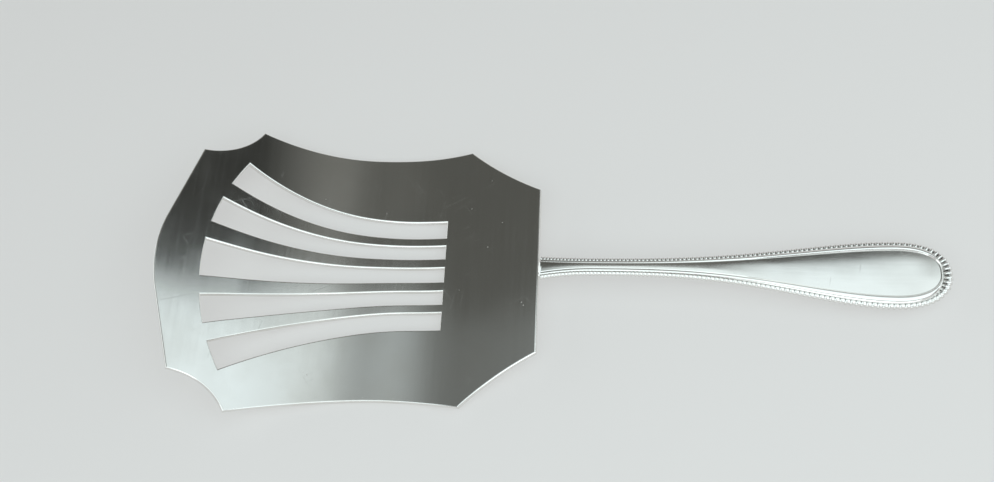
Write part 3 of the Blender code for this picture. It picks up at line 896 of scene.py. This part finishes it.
# %% Core of the wire
CORE_SHARE = 0.80
start_step()
bpy.ops.curve.primitive_bezier_circle_add(radius=0.01, location=(0.0, 0.0, 0.0))
core = bpy.context.object
core.name = "wire_core"
core.data.splines.clear()
core_spline = core.data.splines.new("POLY")
core_spline.points.add(len(beads) - 1)
for spot, (point, outward) in zip(core_spline.points, beads):
    spot.co = (*bead_centre(point, outward), 1.0)
    spot.radius = CORE_SHARE * bead_reach(point.x)
core.data.dimensions = "3D"
core.data.bevel_depth = 1.0
core.data.bevel_resolution = 2
core.data.use_fill_caps = True
bpy.ops.object.convert(target="MESH")
bpy.ops.object.shade_smooth_by_angle(angle=SMOOTH_ANGLE)
# The core between the beads takes the same patina and painted shade as the beads' ends.
core_patina_and_shade = core.data.attributes.new("patina_and_shade", "FLOAT", "POINT")
for vert in core.data.vertices:
    point, outward = min(beads, key=lambda place: (bead_centre(*place).xy - vert.co.xy).length_squared)
    offset = (vert.co - bead_centre(point, outward)) / bead_reach(point.x)
    core_patina_and_shade.data[vert.index].value = pit_shade(1.0, offset.xy.dot(outward), offset.z, outward)
wire.select_set(True)
bpy.context.view_layer.objects.active = wire
bpy.ops.object.join()
print("Wire with core:", len(wire.data.polygons), "faces")

# %% [markdown]
# ## Bolster
#
# The bolster closes the handle's mouth against the blade. Its plate rises towards the blade in a small
# hollow fillet, a plug behind it fits the mouth and has a socket for the tang, and a tapered tongue under
# the blade is soldered to it. The plate and plug are one oval disc, extruded and resized ring by ring, and
# the tongue is a tapered block.

# %% Plate, plug and socket
MIDDLE = seam_height(MOUTH)
FILLET_STEPS = 6
RING_POINTS = 48
PLATE_HALF_WIDTH, PLATE_DEPTH = 0.0031, 0.0034
PLATE_RISE = (0.0013, 0.0020)
# Each ring: place along X, half width, rise over the seam and depth under it.
PLUG_RINGS = [(MOUTH_EDGE + 0.00005, 0.0016, 0.0009, 0.0019), (0.001581, 0.0015, 0.0009, 0.0018)]
SOCKET_RINGS = [(0.001631, 0.0011, 0.0007, 0.0015), (-0.000719, 0.0011, 0.0007, 0.0015)]
bolster_rings = []
for step in range(FILLET_STEPS + 1):
    share = step / FILLET_STEPS
    rise = mix(*PLATE_RISE, (1.0 - share) ** 2)
    bolster_rings.append((mix(REAR_EDGE, MOUTH_EDGE, share), PLATE_HALF_WIDTH, rise, PLATE_DEPTH))
bolster_rings += PLUG_RINGS + SOCKET_RINGS
start_step()
bpy.ops.mesh.primitive_circle_add(vertices=RING_POINTS, radius=1.0, fill_type="NGON",
                                  location=(REAR_EDGE, 0.0, 0.0),
                                  rotation=(0.5 * math.pi, 0.0, 0.5 * math.pi))
bolster = bpy.context.object
bolster.name = "bolster_plate"
bpy.ops.object.transform_apply(location=True, rotation=True, scale=True)
edit_all()
for (x, *_), (following, *_) in zip(bolster_rings, bolster_rings[1:]):
    bpy.ops.mesh.extrude_region_move(TRANSFORM_OT_translate={"value": (following - x, 0.0, 0.0)})
bpy.ops.object.mode_set(mode="OBJECT")
for vert in bolster.data.vertices:
    x, half_y, rise, depth = min(bolster_rings, key=lambda ring: abs(ring[0] - vert.co.x))
    vert.co = (x, half_y * vert.co.y, MIDDLE + (rise if vert.co.z > 0.0 else depth) * vert.co.z)
print("Plate and plug:", len(bolster.data.polygons), "faces")

# %% Tongue under the blade
# Each end: place along X, half width, lower and upper height.
TONGUE_ENDS = ((-0.0025, 0.0022, 0.0052, 0.0062), (-0.02199, 0.0010, 0.00202, 0.00262))
TONGUE_EDGE = 0.00015
start_step()
bpy.ops.mesh.primitive_cube_add(size=2.0)
tongue = bpy.context.object
for vert in tongue.data.vertices:
    x, half_y, low, high = TONGUE_ENDS[0] if vert.co.x > 0.0 else TONGUE_ENDS[1]
    vert.co = (x, half_y * vert.co.y, high if vert.co.z > 0.0 else low)
soft = tongue.modifiers.new("soft_edges", "BEVEL")
soft.width = TONGUE_EDGE
soft.segments = 2
bpy.ops.object.modifier_apply(modifier="soft_edges")
bolster.select_set(True)
bpy.context.view_layer.objects.active = bolster
bpy.ops.object.join()
edit_all()
bpy.ops.mesh.normals_make_consistent(inside=False)
bpy.ops.object.mode_set(mode="OBJECT")
bpy.ops.object.shade_smooth_by_angle(angle=math.radians(35.0))
print("Bolster:", millimetres(bolster.dimensions, 2), "mm")

# %% [markdown]
# ## Finishes
#
# The blade and the handle are the same metal with a different polish, so one node group makes the wear
# for both: fine grain in one direction, cloudy tarnish, hairline scratches and, on the blade, a few specks.
# It puts out a colour, a roughness and a height, and each material places it with its own values. All
# patterns read Object coordinates, which are metres here. Brushing draws the blade's highlights out, so
# its shader is anisotropic, with a tangent along X.

# %% Wear of the silver
wear = bpy.data.node_groups.new("silver_wear", "ShaderNodeTree")
for name, kind, value in (("Metal", "NodeSocketColor", (0.86, 0.85, 0.83, 1.0)),
                          ("Tarnish", "NodeSocketColor", (0.55, 0.51, 0.44, 1.0)),
                          ("Tarnish Share", "NodeSocketFloat", 0.2),
                          ("Roughness", "NodeSocketFloat", 0.2),
                          ("Grain Scale", "NodeSocketVector", (1200.0, 30.0, 1200.0)),
                          ("Grain", "NodeSocketFloat", 0.3),
                          ("Scratches", "NodeSocketFloat", 0.5),
                          ("Specks", "NodeSocketFloat", 0.0)):
    socket = wear.interface.new_socket(name, in_out="INPUT", socket_type=kind)
    socket.default_value = value
for name, kind in (("Color", "NodeSocketColor"),
                   ("Roughness", "NodeSocketFloat"),
                   ("Height", "NodeSocketFloat")):
    wear.interface.new_socket(name, in_out="OUTPUT", socket_type=kind)
given = wear.nodes.new("NodeGroupInput").outputs
place = add_node(wear, "TexCoord").outputs["Object"]
print("Wear inputs:", len(given) - 1)

# %% Grain, clouds, scratches and specks
# Each family of hairlines: its turn, and the width of its pattern across the lines.
HAIRLINES = ((0.45, 0.0005), (-0.95, 0.0006), (1.35, 0.0006))
HAIRLINE_LENGTH = 0.03
grain_place = add_node(wear, "Mapping", {"Vector": place, "Scale": given["Grain Scale"]}).outputs["Vector"]
grain = add_node(wear, "TexNoise", {"Vector": grain_place, "Scale": 1.0, "Detail": 3.0}).outputs["Fac"]
cloud = add_node(wear, "TexNoise", {"Vector": place, "Scale": 55.0, "Detail": 4.0}).outputs["Fac"]
clouds = fade(wear, cloud, 0.38, 0.70)
patch = add_node(wear, "TexNoise", {"Vector": place, "Scale": 140.0, "Detail": 1.0}).outputs["Fac"]
patches = fade(wear, patch, 0.56, 0.63)
hairlines = []
for turn, width in HAIRLINES:
    stretch = (HAIRLINE_LENGTH, width, HAIRLINE_LENGTH)
    lines_place = add_node(wear, "Mapping", {"Vector": place, "Rotation": (0.0, 0.0, turn), "Scale": stretch},
                           vector_type="TEXTURE").outputs["Vector"]
    lines = add_node(wear, "TexNoise", {"Vector": lines_place, "Scale": 1.0, "Detail": 0.0}).outputs["Fac"]
    hairlines.append(fade(wear, lines, 0.74, 0.765))
lines = combine(wear, "MAXIMUM", combine(wear, "MAXIMUM", hairlines[0], hairlines[1]), hairlines[2])
scratches = combine(wear, "MULTIPLY", combine(wear, "MULTIPLY", lines, patches), given["Scratches"])
dots = add_node(wear, "TexVoronoi", {"Vector": place, "Scale": 330.0}).outputs["Distance"]
speck_share = combine(wear, "MULTIPLY", fade(wear, patch, 0.60, 0.64), given["Specks"])
specks = combine(wear, "MULTIPLY", fade(wear, dots, 0.05, 0.09, 1.0, 0.0), speck_share)
print("Wear nodes:", len(wear.nodes))

# %% Wear outputs
tarnish_share = combine(wear, "MULTIPLY", clouds, given["Tarnish Share"])
dulled = combine(wear, "MAXIMUM", tarnish_share, combine(wear, "MULTIPLY", specks, 0.5))
colour = blend(wear, dulled, given["Metal"], given["Tarnish"])
grain_part = combine(wear, "MULTIPLY", combine(wear, "SUBTRACT", grain, 0.5), given["Grain"])
cloud_part = combine(wear, "MULTIPLY", combine(wear, "SUBTRACT", clouds, 0.5), 0.05)
marks = combine(wear, "MAXIMUM", scratches, specks)
grained = combine(wear, "ADD", given["Roughness"], combine(wear, "MULTIPLY", grain_part, 0.4))
marked = combine(wear, "ADD", cloud_part, combine(wear, "MULTIPLY", marks, 0.35))
rough = combine(wear, "ADD", grained, marked)
height = combine(wear, "SUBTRACT", grain_part, marks)
results = wear.nodes.new("NodeGroupOutput")
wear.links.new(colour, results.inputs["Color"])
wear.links.new(rough, results.inputs["Roughness"])
wear.links.new(height, results.inputs["Height"])
print("Wear outputs:", [socket.name for socket in results.inputs if socket.name])

# %% Silver materials
GRAIN_HEIGHT = 0.00002


def silver_material(name, bump, **values):
    """Silver with the shared wear; the values go to the wear group's inputs."""
    material = bpy.data.materials.new(name)
    material.use_nodes = True
    tree = material.node_tree
    shader = tree.nodes["Principled BSDF"]
    shader.inputs["Metallic"].default_value = 1.0
    finish = tree.nodes.new("ShaderNodeGroup")
    finish.node_tree = wear
    for key, value in values.items():
        finish.inputs[key.replace("_", " ").title()].default_value = value
    bumps = add_node(tree, "Bump", {"Height": finish.outputs["Height"], "Strength": bump,
                                    "Distance": GRAIN_HEIGHT})
    tree.links.new(finish.outputs["Color"], shader.inputs["Base Color"])
    tree.links.new(finish.outputs["Roughness"], shader.inputs["Roughness"])
    tree.links.new(bumps.outputs["Normal"], shader.inputs["Normal"])
    return material


satin_silver = silver_material("satin_silver", bump=0.12, roughness=0.16, grain=0.18,
                               grain_scale=(1300.0, 25.0, 1300.0), tarnish_share=0.22, scratches=0.20,
                               specks=1.0)
brushed = satin_silver.node_tree.nodes["Principled BSDF"]
brushed.inputs["Anisotropic"].default_value = 0.5
tangent = add_node(satin_silver.node_tree, "CombineXYZ", {"X": 1.0}).outputs["Vector"]
satin_silver.node_tree.links.new(tangent, brushed.inputs["Tangent"])
polished_silver = silver_material("polished_silver", bump=0.2, roughness=0.15, grain=0.15,
                                  grain_scale=(30.0, 1500.0, 1500.0), tarnish_share=0.10, scratches=0.2)
beaded_silver = silver_material("beaded_silver", bump=0.1, roughness=0.14, grain=0.10, tarnish_share=0.12,
                                scratches=0.1)
tang_steel = silver_material("tang_steel", bump=0.4, metal=(0.42, 0.42, 0.43, 1.0),
                             tarnish=(0.20, 0.17, 0.14, 1.0), roughness=0.42, grain=0.5,
                             grain_scale=(40.0, 2500.0, 2500.0), tarnish_share=0.4, scratches=0.6)
silvers = (satin_silver, polished_silver, beaded_silver, tang_steel)
print("Silver materials:", ", ".join(material.name for material in silvers))

# %% Patina and painted shade in the groove and between the beads
# A dark colour laid over the finish by the mask: partly tarnish in the hollows, partly painted shade where
# the groove and the gaps between the beads fall dark.
PATINA_AND_SHADE = (0.10, 0.095, 0.085, 1.0)
for material, strength in ((polished_silver, 0.35), (beaded_silver, 0.9)):
    tree = material.node_tree
    mask = add_node(tree, "Attribute", attribute_name="patina_and_shade").outputs["Fac"]
    finish = next(node for node in tree.nodes if node.type == "GROUP")
    dark = combine(tree, "MULTIPLY", mask, strength)
    colour = blend(tree, dark, finish.outputs["Color"], PATINA_AND_SHADE)
    tree.links.new(colour, tree.nodes["Principled BSDF"].inputs["Base Color"])
print("Patina linked")

# %% Cement
cement = bpy.data.materials.new("filling_cement")
cement.use_nodes = True
tree = cement.node_tree
place = add_node(tree, "TexCoord").outputs["Object"]
grit = add_node(tree, "TexNoise", {"Vector": place, "Scale": 900.0, "Detail": 5.0}).outputs["Fac"]
colour = blend(tree, fade(tree, grit, 0.35, 0.65), (0.36, 0.28, 0.20, 1.0), (0.50, 0.40, 0.31, 1.0))
bumps = add_node(tree, "Bump", {"Height": grit, "Strength": 0.5, "Distance": 0.0001})
shader = tree.nodes["Principled BSDF"]
tree.links.new(colour, shader.inputs["Base Color"])
tree.links.new(fade(tree, grit, 0.3, 0.7, 0.8, 0.95), shader.inputs["Roughness"])
tree.links.new(bumps.outputs["Normal"], shader.inputs["Normal"])
print("Cement material ready")

# %% [markdown]
# ## Putting it together
#
# Each piece rides on the frame's one body and stands for the CAD node that it refines, which is hidden.
# The tang, a plain rod, stays as it is and only takes its material.

# %% Pieces on the frame
PIECES = ((blade, satin_silver, "satin_silver", "blade"),
          (top_shell, polished_silver, "polished_silver", "handle_top_shell"),
          (back_shell, polished_silver, "polished_silver", "handle_back_shell"),
          (wire, beaded_silver, "polished_silver", "bead_border"),
          (bolster, polished_silver, "polished_silver", "bolster"),
          (filling, cement, "cement", "handle_cement"))
for piece, material, slot, node in PIECES:
    piece.data.materials.clear()
    piece.data.materials.append(material)
    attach(piece, "root")
    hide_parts(node)
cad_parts["tang"].data.materials.clear()
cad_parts["tang"].data.materials.append(tang_steel)
print("Pieces:", ", ".join(piece.name for piece, *_ in PIECES))
